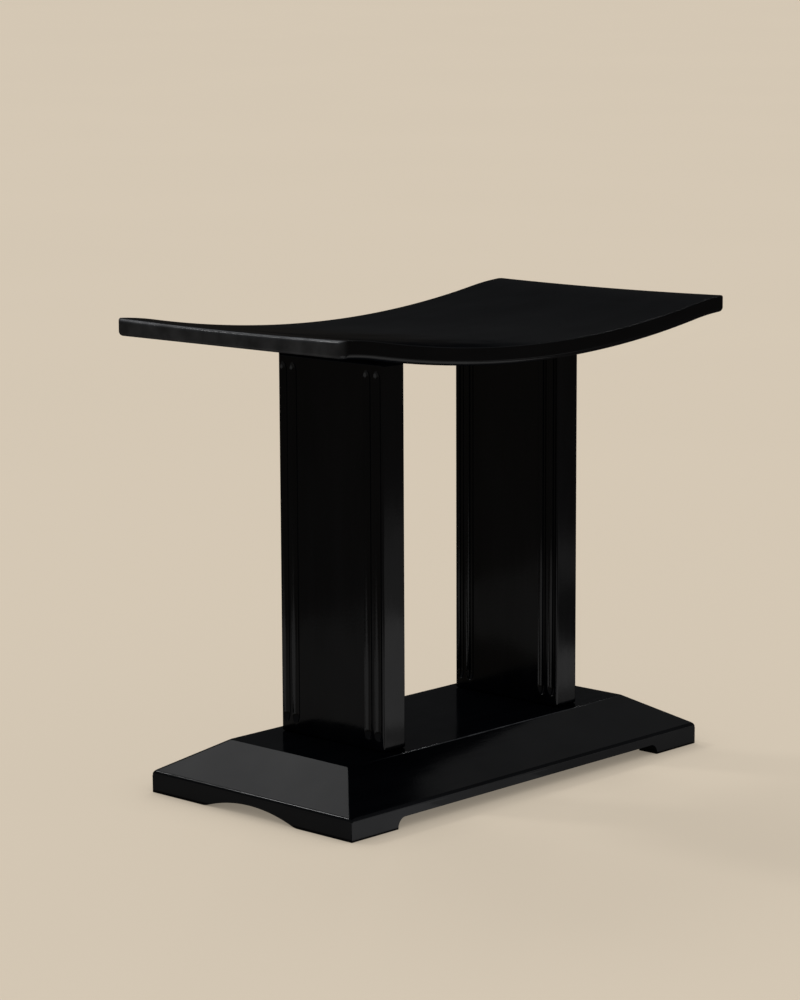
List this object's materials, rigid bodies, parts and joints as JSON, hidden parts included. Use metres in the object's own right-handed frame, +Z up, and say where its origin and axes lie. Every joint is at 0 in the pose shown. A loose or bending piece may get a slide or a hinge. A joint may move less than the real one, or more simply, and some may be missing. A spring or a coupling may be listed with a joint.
{
  "type": "stool",
  "caption": "Black lacquered stool with an upward-curving dished seat on two broad fluted uprights, standing on a hipped plinth with shaped feet.",
  "frame": {"origin": "middle of the stool's footprint, on the floor under the feet", "axes": "+X along the seat's long side, +Y across it, +Z up"},
  "size_m": [0.522, 0.283, 0.4363],
  "materials": {
    "black_lacquer": "black lacquer on hardwood, polished",
    "bare_wood": "bare hardwood"
  },
  "bodies": {
    "root": {"seat": "black_lacquer", "upright_left": "black_lacquer", "upright_right": "black_lacquer", "plinth_top": "black_lacquer", "rail_front": "black_lacquer", "rail_back": "black_lacquer", "rail_left": "black_lacquer", "rail_right": "black_lacquer", "corner_block_front_left": "bare_wood", "corner_block_front_right": "bare_wood", "corner_block_back_left": "bare_wood", "corner_block_back_right": "bare_wood"}
  },
  "joints": []
}
